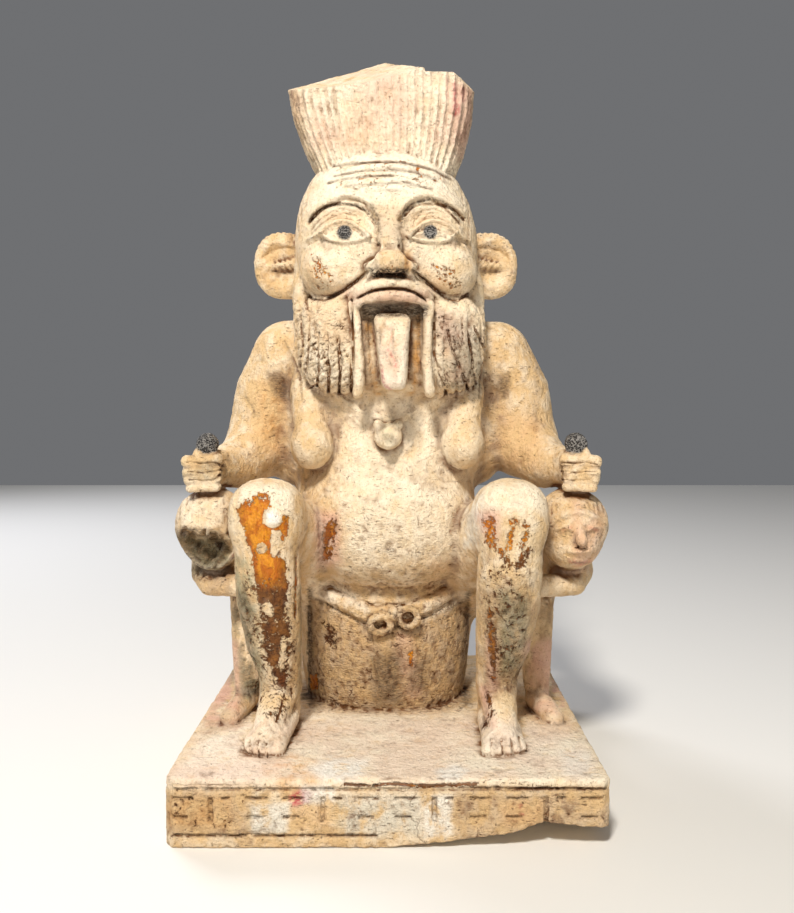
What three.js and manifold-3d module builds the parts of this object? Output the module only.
// A Bes figure in painted limestone: the squatting god with a broken feather crown,
// his fists on the heads of two small stooping attendants, all carved in one block with the plinth.
// Millimetres, +Z up, the figure faces -Y, and the origin is under the middle of the block.
import * as THREE from "three";
import { mergeVertices } from "three/addons/utils/BufferGeometryUtils.js";
import Module from "manifold-3d";

const wasm = await Module();
wasm.setup();

// Driving sizes
const plinthWidth = 450;
const plinthDepth = 470;
const plinthHeight = 70;
const figureHeight = 820; // from the plinth's top to the crown's highest splinter
const plinthWear = 7; // how far the plinth's arrises are rubbed down
const breakHeight = 26; // stone lost under the plinth's front right corner
const breakWidth = 235;
const breakDepth = 120;
const registerInset = 9; // the ruled lines, from the front's upper edge and from the foot
const registerWidth = 3.2;
const strokeDepth = 2.6;
const strokeColumns = 12;
const fluteCount = 64; // feathers round the crown
const fluteDepth = 2.6;
const pupilRadius = 8.4;

// Working resolution of the carved surface
const cell = 3; // size of one sampling cell, on the figure as drawn
const figureTriangles = 7600;
const crumb = 0.4; // shortest edge kept

// The figure's proportions are drawn for a height of 820, and follow figureHeight as shares of it.
const drawnHeight = 820;
const share = figureHeight / drawnHeight;
const stoneBelowFeet = 12; // how deep the figure is rooted in the plinth

// The body faces a little to its left, and the head leans a little to its right.
const bodyAxis = (y) => -4 - 0.05 * y;
const headAxis = (y, z) => bodyAxis(y) - 0.035 * (z - 560);
const legAxis = (y, z) => (z < 60 ? 0.06 * Math.min(0, y + 84) : 0);
const armAxis = () => 3;
const crownAxis = (z) => -5 - 0.06 * (z - 674);

// Fields: each takes a point and gives its distance to a form, negative inside.

// An egg, or a boxier form where squareness is over 2.
function ball([cx, cy, cz], [rx, ry, rz], squareness = 2) {
  return (x, y, z) => {
    const dx = Math.abs(x - cx) / rx;
    const dy = Math.abs(y - cy) / ry;
    const dz = Math.abs(z - cz) / rz;
    if (squareness === 2) {
      const reach = Math.sqrt(dx * dx + dy * dy + dz * dz);
      const slope = Math.sqrt((dx * dx) / (rx * rx) + (dy * dy) / (ry * ry) + (dz * dz) / (rz * rz));
      return (reach * (reach - 1)) / (slope || 1e-6);
    }
    const lift = squareness - 1;
    const px = dx ** lift;
    const py = dy ** lift;
    const pz = dz ** lift;
    const reach = (px * dx + py * dy + pz * dz) ** (1 / squareness);
    const slope = Math.sqrt((px / rx) ** 2 + (py / ry) ** 2 + (pz / rz) ** 2);
    return ((reach - 1) * reach ** lift) / (slope || 1e-6);
  };
}

// A limb tapers evenly from one round end to the other.
function limb([ax, ay, az], [bx, by, bz], fromRadius, toRadius) {
  const dx = bx - ax;
  const dy = by - ay;
  const dz = bz - az;
  const squared = dx * dx + dy * dy + dz * dz;
  return (x, y, z) => {
    const px = x - ax;
    const py = y - ay;
    const pz = z - az;
    const along = Math.min(1, Math.max(0, (px * dx + py * dy + pz * dz) / squared));
    const ox = px - dx * along;
    const oy = py - dy * along;
    const oz = pz - dz * along;
    const off = Math.sqrt(ox * ox + oy * oy + oz * oz);
    return off - fromRadius - (toRadius - fromRadius) * along;
  };
}

// A chain of limbs through points given as [x, y, z, radius].
function chain(points) {
  const links = points
    .slice(1)
    .map((to, i) => limb(points[i], to, points[i][3], to[3]));
  return union(links);
}

function block([cx, cy, cz], [hx, hy, hz], round) {
  return (x, y, z) => {
    const qx = Math.abs(x - cx) - hx + round;
    const qy = Math.abs(y - cy) - hy + round;
    const qz = Math.abs(z - cz) - hz + round;
    const outside = Math.hypot(Math.max(qx, 0), Math.max(qy, 0), Math.max(qz, 0));
    return outside + Math.min(0, Math.max(qx, qy, qz)) - round;
  };
}

function union(parts) {
  return (x, y, z) => {
    let nearest = Infinity;
    for (const part of parts) nearest = Math.min(nearest, part(x, y, z));
    return nearest;
  };
}

function melt(a, b, blend) {
  const h = Math.max(blend - Math.abs(a - b), 0) / blend;
  return Math.min(a, b) - (h * h * blend) / 4;
}

function join(blend, parts) {
  return (x, y, z) => {
    let distance = parts[0](x, y, z);
    for (let i = 1; i < parts.length; i += 1) {
      distance = melt(distance, parts[i](x, y, z), blend);
    }
    return distance;
  };
}

function carve(blend, body, tool) {
  return (x, y, z) => -melt(-body(x, y, z), tool(x, y, z), blend);
}

// Skips a costly part where the point is well outside the ball that holds it.
function within([cx, cy, cz], radius, part) {
  const clearance = 30;
  return (x, y, z) => {
    const away = Math.hypot(x - cx, y - cy, z - cz) - radius;
    return away > clearance ? away : part(x, y, z);
  };
}

// Both halves of the figure from its right one.
function paired(part, axis) {
  return (x, y, z) => part(Math.abs(x - axis(y, z)), y, z);
}

// A line cut into the front (positive depth) or standing proud of it (negative depth),
// along points given as [x, z].
function line(points, width, depth) {
  const segments = points.slice(1).map(([bx, bz], i) => {
    const [ax, az] = points[i];
    const dx = bx - ax;
    const dz = bz - az;
    return { ax, az, dx, dz, squared: dx * dx + dz * dz };
  });
  return (x, z) => {
    let nearest = Infinity;
    for (const { ax, az, dx, dz, squared } of segments) {
      const px = x - ax;
      const pz = z - az;
      const along = Math.min(1, Math.max(0, (px * dx + pz * dz) / squared));
      const ox = px - dx * along;
      const oz = pz - dz * along;
      nearest = Math.min(nearest, ox * ox + oz * oz);
    }
    const t = nearest / (width * width);
    return t < 4 ? depth * Math.exp(-2 * t) : 0;
  };
}

function sumOf(lines) {
  return (x, z) => {
    let sum = 0;
    for (const one of lines) sum += one(x, z);
    return sum;
  };
}

// Points of an arch from [x, z] to [x, z] that rises by height at its middle.
function arch([ax, az], [bx, bz], height, steps) {
  return Array.from({ length: steps + 1 }, (_, i) => {
    const t = i / steps;
    return [ax + (bx - ax) * t, az + (bz - az) * t + height * Math.sin(Math.PI * t)];
  });
}

// The parts of the figure, drawn for the right half unless they stand on the axis.

function head() {
  const cranium = ball([0, 18, 592], [113, 106, 109], 2.6);
  const face = ball([0, -12, 556], [108, 80, 92], 2.4);
  const nape = ball([0, 62, 510], [100, 64, 86]);
  const cheek = ball([66, -50, 537], [40, 40, 38]);
  const muzzle = ball([0, -74, 514], [40, 30, 20]);
  const nose = [
    limb([0, -82, 598], [0, -103, 558], 10, 14),
    ball([0, -112, 539], [19, 15, 14]),
    ball([19, -101, 532], [13, 13, 11]),
  ];
  const nostril = ball([12, -104, 522], [6, 8, 6]);
  const socket = ball([50, -110, 592], [40, 32, 24]);
  const eye = ball([51, -62, 577], [36, 24, 20]);
  const skull = join(22, [cranium, face, nape]);
  const withSockets = carve(8, skull, socket);
  return carve(2, join(6, [withSockets, cheek, muzzle, eye, ...nose]), nostril);
}

function faceLines() {
  const brow = [[90, 597], [80, 605], [68, 610], [50, 615], [37, 613], [28, 609], [20, 602], [13, 589]];
  const upperLid = [[80, 577], [74, 584], [63, 589], [53, 591], [42, 588], [33, 581], [23, 570]];
  const lowerLid = [[80, 576], [67, 567], [53, 564], [39, 565], [23, 569]];
  const wrinkles = [[636, 40], [646, 62], [656, 74]].map(([z, half]) =>
    line(arch([-half, z - 8], [half, z - 8], 12, 6), 2.6, 2),
  );
  const smile = [[26, 528], [41, 519], [56, 510], [70, 503], [83, 502], [97, 505]];
  return sumOf([
    line(brow.map(([x, z]) => [x, z + 7]), 5, -4),
    line(brow, 3.4, 4.5),
    line(upperLid, 3.2, -4.5),
    line(lowerLid, 2.8, -4),
    line([[79, 576], [97, 571]], 3, -3),
    (x, z) => (Math.hypot(x - 50, z - 577) < pupilRadius ? -1.6 : 0),
    line(smile, 3.6, 4.5),
    line(smile.map(([x, z]) => [x, z - 8]), 4, -3),
    ...wrinkles,
  ]);
}

function ear() {
  const shell = ball([130, 30, 554], [39, 14, 43], 2.3);
  const bowl = ball([136, 14, 553], [27, 16, 31], 2.3);
  const leaf = limb([112, 22, 556], [152, 26, 552], 8, 4);
  return within([130, 30, 554], 50, join(4, [carve(4, shell, bowl), leaf]));
}

function mouth() {
  return block([0, -100, 484], [35, 26, 8], 4);
}

// The moustache band over the lip, and the curled lip itself.
function lips() {
  return join(4, [
    chain([
      [44, -80, 500, 6],
      [36, -92, 506, 7],
      [18, -101, 513, 8],
      [0, -104, 516, 8],
    ]),
    chain([
      [36, -92, 493, 5.5],
      [20, -103, 499, 6.5],
      [0, -107, 501, 6.5],
    ]),
  ]);
}

function tongue() {
  const root = [0, -105, 472];
  const tip = [0, -111, 402];
  const back = -60; // in the stone behind the gap
  return (x, y, z) => {
    const down = Math.min(1, Math.max(0, (root[2] - z) / (root[2] - tip[2])));
    const half = 21 - 6.5 * down;
    const across = Math.max(Math.abs(x) - half + 9, 0);
    const below = Math.max(tip[2] - z, 0) + Math.max(z - root[2], 0);
    const thick = Math.max(root[1] + (tip[1] - root[1]) * down + 9 - y, y - back + 9);
    return Math.hypot(across, below, Math.max(thick, 0)) - 9;
  };
}

// The beard falls in twisted locks either side of the tongue, and a plain strand edges the gap.
function beard() {
  const whole = join(5, [
    ball([54, -30, 452], [60, 52, 64], 2.8),
    ball([0, -36, 440], [60, 38, 58]),
    chain([
      [100, 0, 556, 14],
      [101, -12, 510, 19],
      [98, -22, 452, 21],
      [80, -32, 420, 20],
    ]),
    chain([
      [44, -88, 492, 6],
      [40, -88, 462, 6.5],
      [40, -84, 400, 7],
      [42, -80, 390, 8],
    ]),
  ]);
  return within([0, -30, 465], 155, (x, y, z) => {
    const away = whole(x, y, z);
    if (away > 14 || x < 48) return away;
    const across = x < 90 ? x : 90 + Math.hypot(x - 90, y + 70) * 0.8;
    const twist = 0.9 * Math.sin(z / 11 + across / 9);
    const groove = 0.5 + 0.5 * Math.cos((across - 48) / 2.35 + twist);
    const low = Math.min(1, Math.max(0, (470 - z + (x - 50) * 0.9) / 40));
    return away + 4 * low * groove ** 3;
  });
}

function torso() {
  const chest = ball([0, 40, 404], [126, 84, 94], 2.2);
  const waist = ball([0, 40, 310], [121, 88, 96]);
  const belly = ball([0, 20, 226], [117, 98, 84], 2.2);
  const shoulders = limb([0, 52, 446], [126, 48, 440], 46, 42);
  const breast = ball([92, -30, 327], [27, 34, 30]);
  const paps = limb([98, -10, 392], [92, -36, 332], 22, 20);
  const flank = ball([126, 52, 348], [34, 40, 72]);
  const collar = line([[0, 354], [30, 366], [60, 386], [92, 420]], 6, -3);
  const hollow = ball([139, -6, 402], [9, 24, 16]);
  const navel = ball([0, -86, 209], [6, 14, 4]);
  const body = join(24, [chest, waist, belly, shoulders, flank]);
  return (x, y, z) => {
    const proud = y < 20 && z > 340 ? collar(x, z) : 0;
    const fleshed = melt(melt(body(x, y, z), paps(x, y, z), 16), breast(x, y, z), 5);
    const pitted = -melt(-fleshed, hollow(x, y, z), 8);
    return -melt(-pitted - proud, navel(x, y, z), 3);
  };
}

// The panther's head that hangs on the chest.
function pendant() {
  return within(
    [0, -58, 340],
    30,
    join(4, [
      ball([0, -54, 338], [17, 14, 16]),
      ball([12, -56, 352], [6, 7, 6]),
      ball([0, -64, 329], [8, 9, 6]),
    ]),
  );
}

function arm() {
  const upper = chain([
    [136, 48, 440, 43],
    [160, 52, 392, 44],
    [170, 54, 328, 45],
  ]);
  const fore = chain([
    [170, 46, 326, 44],
    [191, 4, 303, 32],
    [213, -40, 298, 22],
  ]);
  const knob = ball([217.5, -66, 329], [13.5, 13.5, 13.5]);
  return join(5, [join(10, [upper, fore]), fist(), knob]);
}

// The fingers lie one under the other round the shaft, under the thumb and a thick forefinger.
function fist() {
  const fingers = [0, 1, 2].map((i) =>
    limb([206, -72, 298 - 9.4 * i], [240 - 2 * i, -76, 297 - 9.4 * i], 5.6, 5.4),
  );
  const forefinger = limb([206, -70, 311], [240, -74, 309], 8.6, 7.6);
  const palm = ball([224, -58, 295], [24, 21, 22], 2.5);
  const thumb = limb([206, -50, 313], [228, -72, 318], 9, 6);
  return within([222, -66, 296], 44, join(2, [palm, thumb, forefinger, ...fingers]));
}

function leg() {
  const knee = [140, -100, 249];
  const cap = ball([140, -100, 247], [39, 37, 38], 3);
  const thigh = limb(knee, [92, 84, 152], 38, 64);
  const shin = chain([
    [...knee, 36],
    [139, -104, 196, 37],
    [137, -100, 153, 37],
    [132, -96, 107, 32],
    [127, -90, 75, 26],
    [125, -84, 50, 22],
  ]);
  return join(14, [thigh, shin, cap]);
}

// The feet turn a little outwards, with the great toe inside.
function foot() {
  const parts = [
    limb([125, -84, 52], [125, -62, 15], 21, 20),
    limb([126, -92, 42], [132, -150, 6], 21, 15),
    limb([118, -92, 14], [121, -150, 4], 15, 14),
    limb([134, -92, 14], [142, -148, 3], 15, 12),
  ];
  const toes = [[114, -168, 8.5], [125, -171, 6.2], [134, -170, 6], [142, -166, 5.8], [149, -160, 5.4]];
  for (const [x, y, radius] of toes) {
    parts.push(limb([x * 0.96 + 5, -146, 7], [x, y, 4], radius, radius));
  }
  return join(3, parts);
}

// The kilt is a barrel that reaches the plinth, with the belt slung low in front.
function kilt() {
  const seat = ball([0, 100, 120], [120, 92, 108]);
  const barrel = (x, y, z) => {
    const swell = 1 - 0.1 * ((z - 80) / 90) ** 2;
    const reach = Math.hypot(x / (112 * swell), (y - 76) / (112 * swell));
    return Math.max((reach - 1) * 108, z - 158);
  };
  const tails = sumOf([
    line([[-6, 108], [-7, 20]], 9, -3.5),
    line([[26, 108], [30, 66]], 11, -3),
    line([[-19, 100], [-20, 40]], 2.5, 2.5),
    line([[10, 100], [16, 62]], 2.5, 2.5),
  ]);
  return (x, y, z) => {
    const side = Math.abs(x);
    const beltRise = y < 76 ? side : 112;
    const off = Math.abs(z - 119 - 0.25 * beltRise) / 9;
    const belt = off < 2 ? 5 * Math.exp(-2 * off ** 4) : 0;
    const body = melt(barrel(x, y, z), seat(side, y, z), 20);
    const folds = y < 20 && z < 112 ? tails(x, z) : 0;
    return body - (y < 190 ? belt : 0) + folds;
  };
}

function knot() {
  const loop = (cx, cz, halfWidth, halfHeight) =>
    chain(
      Array.from({ length: 11 }, (_, i) => {
        const turn = (i / 10) * 2 * Math.PI;
        return [cx + halfWidth * Math.cos(turn), -44, cz + halfHeight * Math.sin(turn), 4.8];
      }),
    );
  const middle = ball([7, -42, 122], [9, 9, 9]);
  return within([8, -44, 115], 42, union([loop(-9, 110, 13, 10), loop(25, 118.5, 11, 11), middle]));
}

// An attendant lunges forward under the god's thigh, its head beside his knee.
function attendant() {
  const skull = ball([217, -42, 232], [44, 46, 44]);
  const jaw = ball([215, -52, 206], [32, 34, 26]);
  const body = limb([212, 4, 176], [188, 84, 158], 34, 36);
  const neck = limb([216, -30, 198], [214, 4, 178], 26, 28);
  const sleeve = chain([
    [230, 10, 190, 20],
    [233, -14, 168, 15],
    [221, -36, 158, 14],
    [178, -50, 158, 13],
  ]);
  const frontLeg = chain([
    [184, 50, 142, 29],
    [180, 0, 96, 21],
    [179, -14, 32, 16],
  ]);
  const frontFoot = limb([180, -14, 12], [192, -66, 4], 15, 12);
  const backLeg = chain([
    [186, 96, 146, 29],
    [194, 132, 84, 19],
    [202, 186, 26, 13],
  ]);
  const backFoot = limb([203, 190, 9], [212, 138, 4], 12, 9);
  return within(
    [205, 50, 130],
    190,
    join(10, [skull, jaw, neck, body, sleeve, frontLeg, frontFoot, backLeg, backFoot]),
  );
}

// The attendants' faces: the one on the left is broken away, the one on the right is whole.
function brokenFace() {
  const hollow = ball([-222, -96, 203], [52, 46, 27], 2.6);
  return (x, y, z) => hollow(x, y, z) + 2.5 * Math.sin(x / 4.1 + z / 9) * Math.sin(z / 5.3 + y / 7);
}

function wholeFace() {
  const nose = limb([222, -86, 232], [223, -92, 219], 4, 6.5);
  const eyes = [204, 240].map((x) => line(arch([x - 8, 230], [x + 8, 230], 4, 4), 2.4, -3));
  const fringe = line(arch([186, 236], [256, 236], 16, 6), 5, -4);
  const mouthLine = line([[210, 205], [234, 205]], 4, -3.5);
  return { nose, relief: sumOf([...eyes, fringe, mouthLine]) };
}

// Everything but the crown and the plinth, as one field.
function figure() {
  const lines = faceLines();
  const trunk = paired(torso(), bodyAxis);
  const legs = paired(join(8, [leg(), foot()]), legAxis);
  const arms = paired(arm(), armAxis);
  const group = paired(attendant(), armAxis);
  const skull = paired(head(), headAxis);
  const hair = paired(beard(), headAxis);
  const ears = paired(ear(), headAxis);
  const lip = paired(lips(), headAxis);
  const hollow = paired(mouth(), headAxis);
  const flap = paired(tongue(), headAxis);
  const charm = paired(pendant(), bodyAxis);
  const skirt = kilt();
  const tied = knot();
  const lost = brokenFace();
  const kept = wholeFace();
  return (x, y, z) => {
    const fromAxis = x - bodyAxis(y);
    let body = melt(trunk(x, y, z), arms(x, y, z), 10);
    if (z < 330) body = melt(body, legs(x, y, z), 10);
    if (z < 240) {
      body = melt(body, skirt(fromAxis, y, z), 8);
      body = melt(body, tied(fromAxis, y, z), 3);
    }
    if (Math.abs(x) > 100 && z < 320) {
      let pair = group(x, y, z);
      if (x > 150 && y < -50) {
        pair += kept.relief(x, z);
        pair = melt(pair, kept.nose(x, y, z), 4);
      }
      if (x < 0) pair = -melt(-pair, lost(x, y, z), 3);
      body = melt(body, pair, 6);
    }
    if (z > 300) body = melt(body, charm(x, y, z), 3);
    if (z > 340) {
      let features = skull(x, y, z);
      if (y < 20 && Math.abs(features) < 14) features += lines(Math.abs(x - headAxis(y, z)), z);
      features = melt(features, ears(x, y, z), 4);
      features = melt(features, hair(x, y, z), 5);
      features = melt(features, lip(x, y, z), 3);
      features = -melt(-features, hollow(x, y, z), 3);
      features = Math.min(features, flap(x, y, z));
      body = melt(body, features, 8);
    }
    return Math.max(body, -z - stoneBelowFeet);
  };
}

// Turns every pocket of air that has no way out to the first sample into stone.
function fillHollows(values, steps) {
  const open = new Uint8Array(values.length);
  const queue = [0];
  open[0] = 1;
  while (queue.length) {
    const place = queue.pop();
    for (const step of steps) {
      for (const next of [place - step, place + step]) {
        if (next < 0 || next >= values.length || open[next] || values[next] < 0) continue;
        open[next] = 1;
        queue.push(next);
      }
    }
  }
  for (let i = 0; i < values.length; i += 1) if (!open[i] && values[i] > 0) values[i] = -0.5;
}

// Grows the stone where samples meet only corner to corner, so that the skin over them
// never touches itself.
function closeCorners(values, steps) {
  const [, row, sheet] = steps;
  const last = values.length - 1 - steps[0] - row - sheet;
  const inside = (place) => values[place] < 0;
  const offset = Array.from({ length: 8 }, (_, c) => (c & 1) + ((c >> 1) & 1) * row + (c >> 2) * sheet);
  const grow = (place) => {
    values[place] = -0.4;
  };
  let changed = true;
  while (changed) {
    changed = false;
    for (let place = 0; place < last; place += 1) {
      if (Math.abs(values[place]) === 1e3) continue;
      for (let d = 0; d < 3; d += 1) {
        const u = steps[(d + 1) % 3];
        const v = steps[(d + 2) % 3];
        const here = inside(place);
        if (here !== inside(place + u + v) || here === inside(place + u)) continue;
        if (inside(place + u) !== inside(place + v)) continue;
        const pair = here ? [place + u, place + v] : [place, place + u + v];
        grow(values[pair[0]] < values[pair[1]] ? pair[0] : pair[1]);
        changed = true;
      }
      for (let c = 0; c < 4; c += 1) {
        const here = inside(place + offset[c]);
        if (here !== inside(place + offset[7 - c])) continue;
        if (offset.some((o, i) => i !== c && i !== 7 - c && inside(place + o) === here)) continue;
        if (here) {
          grow(place + offset[c ^ 1]);
          grow(place + offset[c ^ 3]);
        } else {
          grow(place + offset[c]);
        }
        changed = true;
      }
    }
  }
}

// Samples a field block by block near its surface and skins it with one vertex in each
// cell that the surface crosses (surface nets).
function skin(field, low, high, size) {
  const cells = low.map((v, i) => Math.ceil((high[i] - v) / size / 8) * 8);
  const [nx, ny, nz] = cells.map((n) => n + 1);
  const values = new Float32Array(nx * ny * nz);
  const at = (i, j, k) => i + nx * (j + ny * k);
  const reach = 8 * size * 0.87 * 1.5;
  for (let k = 0; k < cells[2]; k += 8) {
    for (let j = 0; j < cells[1]; j += 8) {
      for (let i = 0; i < cells[0]; i += 8) {
        const middle = field(
          low[0] + (i + 4) * size,
          low[1] + (j + 4) * size,
          low[2] + (k + 4) * size,
        );
        const far = Math.abs(middle) > reach;
        for (let c = k; c <= k + 8; c += 1) {
          for (let b = j; b <= j + 8; b += 1) {
            for (let a = i; a <= i + 8; a += 1) {
              const place = at(a, b, c);
              if (far) {
                if (!values[place]) values[place] = Math.sign(middle) * 1e3;
              } else if (!values[place] || Math.abs(values[place]) === 1e3) {
                values[place] =
                  field(low[0] + a * size, low[1] + b * size, low[2] + c * size) || 1e-4;
              }
            }
          }
        }
      }
    }
  }
  const steps = [1, nx, nx * ny];
  closeCorners(values, steps);
  fillHollows(values, steps);
  const vertexOf = new Int32Array(nx * ny * nz).fill(-1);
  const points = [];
  const corner = [0, 1, 2, 3, 4, 5, 6, 7];
  const offset = corner.map((c) => (c & 1) * steps[0] + ((c >> 1) & 1) * steps[1] + (c >> 2) * steps[2]);
  const edges = corner.flatMap((a) => [1, 2, 4].filter((bit) => !(a & bit)).map((bit) => [a, a | bit]));
  for (let k = 0; k < nz - 1; k += 1) {
    for (let j = 0; j < ny - 1; j += 1) {
      for (let i = 0; i < nx - 1; i += 1) {
        const base = at(i, j, k);
        let inside = 0;
        for (const c of corner) if (values[base + offset[c]] < 0) inside += 1;
        if (inside === 0 || inside === 8) continue;
        const sum = [0, 0, 0];
        let crossings = 0;
        for (const [a, b] of edges) {
          const va = values[base + offset[a]];
          const vb = values[base + offset[b]];
          if (va < 0 === vb < 0) continue;
          const t = va / (va - vb);
          for (let d = 0; d < 3; d += 1) {
            const from = (a >> d) & 1;
            const to = (b >> d) & 1;
            sum[d] += from + (to - from) * t;
          }
          crossings += 1;
        }
        vertexOf[base] = points.length / 3;
        const origin = [i, j, k];
        for (let d = 0; d < 3; d += 1) points.push(low[d] + (origin[d] + sum[d] / crossings) * size);
      }
    }
  }
  const triangles = [];
  for (let k = 1; k < nz - 1; k += 1) {
    for (let j = 1; j < ny - 1; j += 1) {
      for (let i = 1; i < nx - 1; i += 1) {
        const base = at(i, j, k);
        const here = values[base] < 0;
        for (let d = 0; d < 3; d += 1) {
          if (here === values[base + steps[d]] < 0) continue;
          const u = steps[(d + 1) % 3];
          const v = steps[(d + 2) % 3];
          const ring = [base - u - v, base - v, base, base - u].map((p) => vertexOf[p]);
          if (!here) ring.reverse();
          triangles.push(ring[0], ring[1], ring[2], ring[0], ring[2], ring[3]);
        }
      }
    }
  }
  return { points, triangles };
}

// Thins a closed mesh to a number of triangles by collapsing the edge that changes the
// surface least, again and again (quadric error), where that folds no face over.
// Edges shorter than crumb always go.
function thin({ points, triangles }, most, weight) {
  const place = Float64Array.from(points);
  const faces = Int32Array.from(triangles);
  const vertices = place.length / 3;
  const quadric = new Float64Array(vertices * 10);
  const around = Array.from({ length: vertices }, () => []);
  const version = new Int32Array(vertices);
  const gone = new Uint8Array(faces.length / 3);
  const normalOf = (a, b, c) => {
    const ux = b[0] - a[0];
    const uy = b[1] - a[1];
    const uz = b[2] - a[2];
    const vx = c[0] - a[0];
    const vy = c[1] - a[1];
    const vz = c[2] - a[2];
    return [uy * vz - uz * vy, uz * vx - ux * vz, ux * vy - uy * vx];
  };
  const point = (v) => [place[v * 3], place[v * 3 + 1], place[v * 3 + 2]];
  for (let f = 0; f < gone.length; f += 1) {
    const corners = [faces[f * 3], faces[f * 3 + 1], faces[f * 3 + 2]];
    const [a, b, c] = corners.map(point);
    const n = normalOf(a, b, c);
    const area = Math.hypot(...n) || 1e-12;
    const [nx, ny, nz] = n.map((value) => value / area);
    const off = -(nx * a[0] + ny * a[1] + nz * a[2]);
    const w = area * weight(...a);
    const terms = [nx * nx, nx * ny, nx * nz, nx * off, ny * ny, ny * nz, ny * off, nz * nz, nz * off, off * off];
    for (const v of corners) {
      around[v].push(f);
      for (let t = 0; t < 10; t += 1) quadric[v * 10 + t] += terms[t] * w;
    }
  }
  const errorAt = (q, [x, y, z]) =>
    q[0] * x * x + 2 * q[1] * x * y + 2 * q[2] * x * z + 2 * q[3] * x + q[4] * y * y
    + 2 * q[5] * y * z + 2 * q[6] * y + q[7] * z * z + 2 * q[8] * z + q[9];
  const best = (u, v) => {
    const q = new Float64Array(10);
    for (let t = 0; t < 10; t += 1) q[t] = quadric[u * 10 + t] + quadric[v * 10 + t];
    const [a, b, c, d, e, f, g, h, i] = q;
    const det = a * (e * h - f * f) - b * (b * h - f * c) + c * (b * f - e * c);
    const pu = point(u);
    const pv = point(v);
    const middle = pu.map((value, k) => (value + pv[k]) / 2);
    let target = middle;
    if (Math.abs(det) > 1e-3 * Math.abs(a * e * h) + 1e-9) {
      const x = -(d * (e * h - f * f) - b * (g * h - f * i) + c * (g * f - e * i)) / det;
      const y = -(a * (g * h - i * f) - d * (b * h - f * c) + c * (b * i - g * c)) / det;
      const z = -(a * (e * i - f * g) - b * (b * i - g * c) + d * (b * f - e * c)) / det;
      const moved = Math.hypot(x - middle[0], y - middle[1], z - middle[2]);
      if (moved < Math.hypot(pu[0] - pv[0], pu[1] - pv[1], pu[2] - pv[2])) target = [x, y, z];
    }
    const length = Math.hypot(pu[0] - pv[0], pu[1] - pv[1], pu[2] - pv[2]);
    if (length < crumb) return { target: middle, cost: length - crumb };
    return { target, cost: Math.max(0, errorAt(q, target)) };
  };
  const heap = [];
  const push = (entry) => {
    let i = heap.length;
    heap.push(entry);
    while (i > 0) {
      const parent = (i - 1) >> 1;
      if (heap[parent].cost <= entry.cost) break;
      heap[i] = heap[parent];
      i = parent;
    }
    heap[i] = entry;
  };
  const pop = () => {
    const top = heap[0];
    const last = heap.pop();
    let i = 0;
    while (heap.length) {
      let child = 2 * i + 1;
      if (child >= heap.length) break;
      if (child + 1 < heap.length && heap[child + 1].cost < heap[child].cost) child += 1;
      if (heap[child].cost >= last.cost) break;
      heap[i] = heap[child];
      i = child;
    }
    if (heap.length) heap[i] = last;
    return top;
  };
  const offer = (u, v) => push({ u, v, stamp: version[u] + version[v], ...best(u, v) });
  const neighbours = (v) => {
    const found = new Set();
    for (const f of around[v]) for (let t = 0; t < 3; t += 1) found.add(faces[f * 3 + t]);
    found.delete(v);
    return found;
  };
  for (let v = 0; v < vertices; v += 1) for (const n of neighbours(v)) if (n > v) offer(v, n);
  const flips = (v, other, target) => {
    for (const f of around[v]) {
      const corners = [faces[f * 3], faces[f * 3 + 1], faces[f * 3 + 2]];
      if (corners.includes(other)) continue;
      const before = normalOf(...corners.map(point));
      const after = normalOf(...corners.map((c) => (c === v ? target : point(c))));
      const size = Math.hypot(...after);
      const dot = before[0] * after[0] + before[1] * after[1] + before[2] * after[2];
      if (dot < 0.3 * size * Math.hypot(...before)) return true;
      const rest = corners.filter((c) => c !== v).map(point);
      const longest = Math.max(
        Math.hypot(...rest[0].map((value, k) => value - rest[1][k])),
        ...rest.map((r) => Math.hypot(...r.map((value, k) => value - target[k]))),
      );
      if (size < 0.12 * longest * longest) return true;
    }
    return false;
  };
  let left = gone.length;
  while (heap.length && (left > most || heap[0].cost < 0)) {
    const { u, v, stamp, target, cost } = pop();
    if (!around[u].length || !around[v].length || version[u] + version[v] !== stamp) continue;
    const near = neighbours(u);
    if (!near.has(v)) continue;
    const far = neighbours(v);
    let shared = 0;
    for (const n of near) if (far.has(n)) shared += 1;
    if (shared !== 2) continue;
    if (cost >= 0 && (flips(u, v, target) || flips(v, u, target))) continue;
    for (const f of around[v]) {
      const own = [0, 1, 2].find((t) => faces[f * 3 + t] === u);
      if (own !== undefined) {
        gone[f] = 1;
        left -= 1;
      } else {
        const mine = [0, 1, 2].find((t) => faces[f * 3 + t] === v);
        faces[f * 3 + mine] = u;
        around[u].push(f);
      }
    }
    around[v] = [];
    for (const n of [...near, u]) around[n] = around[n].filter((f) => !gone[f]);
    for (let t = 0; t < 10; t += 1) quadric[u * 10 + t] += quadric[v * 10 + t];
    for (let d = 0; d < 3; d += 1) place[u * 3 + d] = target[d];
    version[u] += 1;
    version[v] += 1;
    for (const n of neighbours(u)) offer(u, n);
  }
  const kept = [];
  for (let f = 0; f < gone.length; f += 1) {
    if (!gone[f]) kept.push(faces[f * 3], faces[f * 3 + 1], faces[f * 3 + 2]);
  }
  return { points: place, triangles: kept };
}

function geometryFrom({ points, triangles }) {
  const geometry = new THREE.BufferGeometry();
  geometry.setAttribute("position", new THREE.Float32BufferAttribute(points, 3));
  geometry.setIndex(Array.from(triangles));
  return geometry;
}

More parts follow.
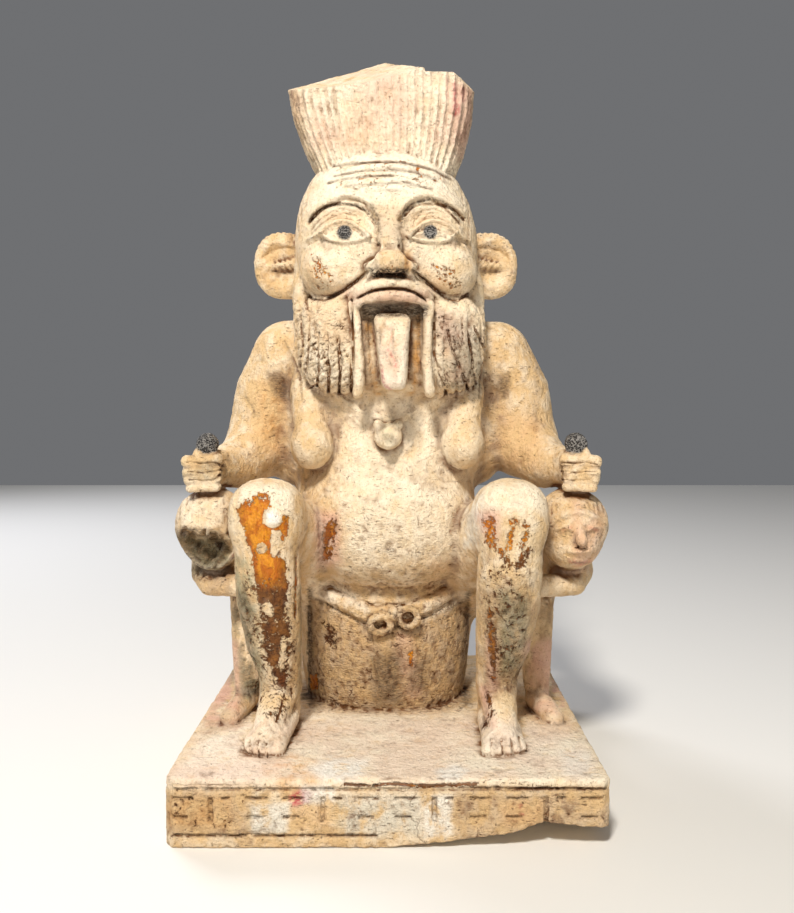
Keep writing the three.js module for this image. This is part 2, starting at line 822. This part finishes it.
function solidFrom(geometry) {
  const bare = geometry.clone();
  for (const name of Object.keys(bare.attributes)) if (name !== "position") bare.deleteAttribute(name);
  const merged = mergeVertices(bare, 1e-4);
  return new wasm.Manifold(
    new wasm.Mesh({
      numProp: 3,
      vertProperties: Float32Array.from(merged.attributes.position.array),
      triVerts: Uint32Array.from(merged.index.array),
    }),
  );
}

function boxSolid(low, high) {
  const size = high.map((v, i) => v - low[i]);
  const geometry = new THREE.BoxGeometry(...size);
  geometry.translate(...low.map((v, i) => v + size[i] / 2));
  return solidFrom(geometry);
}

// The feather crown flares upwards from the head. Its plan is a box with bowed sides,
// fluted all round.
function crown() {
  const middleY = 15;
  const squareness = 9; // of the plan's corners: 2 is an ellipse, and more is boxier
  const sideBow = 0.15;
  const profile = [
    { z: 655, halfWidth: 84, halfDepth: 60 },
    { z: 690, halfWidth: 100, halfDepth: 64 },
    { z: 732, halfWidth: 113, halfDepth: 70 },
    { z: 850, halfWidth: 128, halfDepth: 83 },
  ];
  const around = fluteCount * 2;
  const points = [];
  const triangles = [];
  const reachAt = (c, s) => (Math.abs(c) ** squareness + Math.abs(s) ** squareness) ** (-1 / squareness);
  const turns = evenTurns(around, profile[2], reachAt);
  for (const { z, halfWidth, halfDepth } of profile) {
    for (let i = 0; i < around; i += 1) {
      const c = Math.cos(turns[i]);
      const s = Math.sin(turns[i]);
      const out = reachAt(c, s);
      const inset = i % 2 ? fluteDepth : 0;
      const bow = 1 - sideBow * (s * out) ** 2;
      const y = middleY + s * (halfDepth * out - inset);
      points.push(crownAxis(z) + c * (halfWidth * out * bow - inset), y, z);
    }
  }
  const levels = profile.length - 1;
  for (let level = 0; level < levels; level += 1) {
    for (let i = 0; i < around; i += 1) {
      const a = level * around + i;
      const b = level * around + ((i + 1) % around);
      triangles.push(a, b, b + around, a, b + around, a + around);
    }
  }
  const cap = points.length / 3;
  for (const { z } of [profile[0], profile[levels]]) points.push(crownAxis(z), middleY, z);
  for (let i = 0; i < around; i += 1) {
    const next = (i + 1) % around;
    triangles.push(cap, next, i);
    triangles.push(cap + 1, levels * around + i, levels * around + next);
  }
  const whole = solidFrom(geometryFrom({ points, triangles }));
  return crownBreaks().reduce((solid, lost) => solid.subtract(lost), whole);
}

// Turns round the plan that stand equally far apart along its edge.
function evenTurns(count, { halfWidth, halfDepth }, reachAt) {
  const steps = 1440;
  const turnOf = (i) => ((i / steps) * 2 - 0.5) * Math.PI;
  const lengths = [0];
  const place = (turn) => {
    const out = reachAt(Math.cos(turn), Math.sin(turn));
    return [Math.cos(turn) * out * halfWidth, Math.sin(turn) * out * halfDepth];
  };
  for (let i = 1; i <= steps; i += 1) {
    const [ax, ay] = place(turnOf(i - 1));
    const [bx, by] = place(turnOf(i));
    lengths.push(lengths[i - 1] + Math.hypot(bx - ax, by - ay));
  }
  return Array.from({ length: count }, (_, i) => {
    const target = ((i + 0.5) / count) * lengths[steps];
    const after = lengths.findIndex((length) => length >= target);
    const share = (target - lengths[after - 1]) / (lengths[after] - lengths[after - 1]);
    return turnOf(after - 1 + share);
  });
}

// The crown's top is broken off in a few rough planes that climb to a splinter at the back.
function crownBreaks() {
  const frontRight = halfSpace([0, -60, 765], [-0.28, -0.54, 1]);
  const frontLeft = halfSpace([-85, -60, 753], [-0.1, -0.36, 1]);
  const rear = halfSpace([0, 40, 826], [-0.26, 0.5, 1]);
  const right = halfSpace([1, 40, 826], [0.36, 0.2, 1]);
  const step = halfSpace([45, -60, 769], [0.905, 0.425, 0]);
  const stepFloor = halfSpace([45, -60, 773], [0.02, -0.25, 1]);
  const corner = halfSpace([73, -60, 775], [1, -0.43, 1]);
  return [frontRight.intersect(frontLeft), rear, right, step.intersect(stepFloor), corner];
}

// All the space on one side of a plane, as a large block.
function halfSpace(at, facing) {
  const size = 900;
  const geometry = new THREE.BoxGeometry(size, size, size);
  geometry.translate(0, 0, size / 2);
  const turn = new THREE.Quaternion().setFromUnitVectors(
    new THREE.Vector3(0, 0, 1),
    new THREE.Vector3(...facing).normalize(),
  );
  geometry.applyQuaternion(turn);
  geometry.translate(...at);
  return solidFrom(geometry);
}

// The plinth, its arrises rubbed, its underside broken away at the front right.
function plinth() {
  const halfWidth = plinthWidth / 2;
  const halfDepth = plinthDepth / 2;
  const outline = new THREE.Shape();
  const worn = plinthWear;
  outline.moveTo(-halfWidth + worn * 1.6, -halfDepth);
  outline.lineTo(halfWidth - worn, -halfDepth);
  outline.lineTo(halfWidth, -halfDepth + worn);
  outline.lineTo(halfWidth, halfDepth - worn * 4);
  outline.lineTo(halfWidth - worn * 3, halfDepth);
  outline.lineTo(-halfWidth + worn, halfDepth);
  outline.lineTo(-halfWidth, halfDepth - worn);
  outline.lineTo(-halfWidth, -halfDepth + worn * 1.6);
  const bevel = worn / 3;
  const geometry = new THREE.ExtrudeGeometry(outline, {
    depth: plinthHeight - bevel,
    bevelThickness: bevel,
    bevelSize: bevel,
    bevelOffset: -bevel,
    bevelSegments: 1,
  });
  let body = solidFrom(geometry).intersect(
    boxSolid([-plinthWidth, -plinthDepth, 0], [plinthWidth, plinthDepth, plinthHeight]),
  );
  const lost = new THREE.Shape();
  lost.moveTo(halfWidth - breakWidth, -1);
  lost.lineTo(halfWidth - breakWidth * 0.72, breakHeight * 0.25);
  lost.lineTo(halfWidth - breakWidth * 0.42, breakHeight * 0.6);
  lost.lineTo(halfWidth - breakWidth * 0.3, breakHeight);
  lost.lineTo(halfWidth + 1, breakHeight * 0.8);
  lost.lineTo(halfWidth + 1, -1);
  const missing = new THREE.ExtrudeGeometry(lost, { depth: breakDepth + 1, bevelEnabled: false });
  missing.rotateX(Math.PI / 2);
  missing.translate(0, -halfDepth + breakDepth, 0);
  const rear = halfSpace([0, -halfDepth + breakDepth, 0], [0, breakHeight, breakDepth]);
  body = body.subtract(solidFrom(missing).subtract(rear));
  return inscription().reduce((solid, stroke) => solid.subtract(stroke), body);
}

// Two ruled lines with rows of shallow strokes between them, in the place of writing.
function inscription() {
  const face = -plinthDepth / 2;
  const from = -plinthWidth / 2;
  const high = plinthHeight - registerInset;
  const low = registerInset * 1.6;
  const cut = (x0, z0, x1, z1) => boxSolid([x0, face - 1, z0], [x1, face + strokeDepth, z1]);
  const strokes = [
    cut(from - 1, high - registerWidth, -from + 1, high),
    cut(from - 1, low - registerWidth, from + plinthWidth * 0.48, low),
  ];
  const pitch = plinthWidth / strokeColumns;
  for (let i = 0; i < strokeColumns; i += 1) {
    const x = from + pitch * (i + 0.2);
    const top = high - registerWidth - 6;
    const upright = i % 3 === 1;
    if (upright) {
      strokes.push(cut(x, top - 26, x + registerWidth * 1.6, top));
      strokes.push(cut(x + pitch * 0.35, top - 3, x + pitch * 0.6, top));
    } else {
      strokes.push(cut(x, top - 3, x + pitch * 0.6, top));
      strokes.push(cut(x, top - 22, x + pitch * 0.45, top - 19));
    }
  }
  return strokes;
}

// A solid's points and triangles, with each corner held once.
function sharedCorners(solid) {
  const mesh = solid.getMesh();
  const kept = Array.from({ length: mesh.vertProperties.length / 3 }, (_, i) => i);
  mesh.mergeFromVert.forEach((from, i) => {
    kept[from] = mesh.mergeToVert[i];
  });
  return { points: mesh.vertProperties, triangles: Array.from(mesh.triVerts, (v) => kept[v]) };
}

// Crumbs and pockets left where cut surfaces graze each other are dropped.
function largestBody(solid) {
  return solid.decompose().reduce((most, body) => (body.volume() > most.volume() ? body : most));
}

// How much more the surface matters where the carving is fine.
function worth(x, y, z) {
  const onFace = z > 480 && y < 0;
  const onHand = Math.abs(x) > 190 && y < -50 && z > 262 && z < 350;
  const onSmallFace = Math.abs(x) > 175 && y < -60 && z > 185;
  const onToes = y < -125 && z < 30;
  if (onFace || onHand) return 8;
  if (onSmallFace || onToes) return 5;
  return z > 370 && y < 0 ? 3 : 1;
}

// The finished block
function besStatue() {
  const low = [-290, -240, -stoneBelowFeet - 8];
  const high = [290, 240, 720];
  const carved = geometryFrom(thin(skin(figure(), low, high, cell), figureTriangles, worth));
  const crowned = solidFrom(carved).add(crown());
  const raised = crowned.scale([share, share, share]).translate([0, 0, plinthHeight]);
  const whole = largestBody(raised.add(plinth()));
  const box = whole.boundingBox();
  const centred = whole.translate([
    -(box.min[0] + box.max[0]) / 2,
    -(box.min[1] + box.max[1]) / 2,
    -box.min[2],
  ]);
  return geometryFrom(thin(sharedCorners(centred), Infinity, () => 1));
}

const limestone = new THREE.MeshStandardMaterial({
  color: 0xdcc49a,
  roughness: 0.85,
  metalness: 0,
});

const statue = new THREE.Mesh(besStatue(), limestone);
statue.name = "bes_statue";

const group = new THREE.Group();
group.add(statue);

export default group;
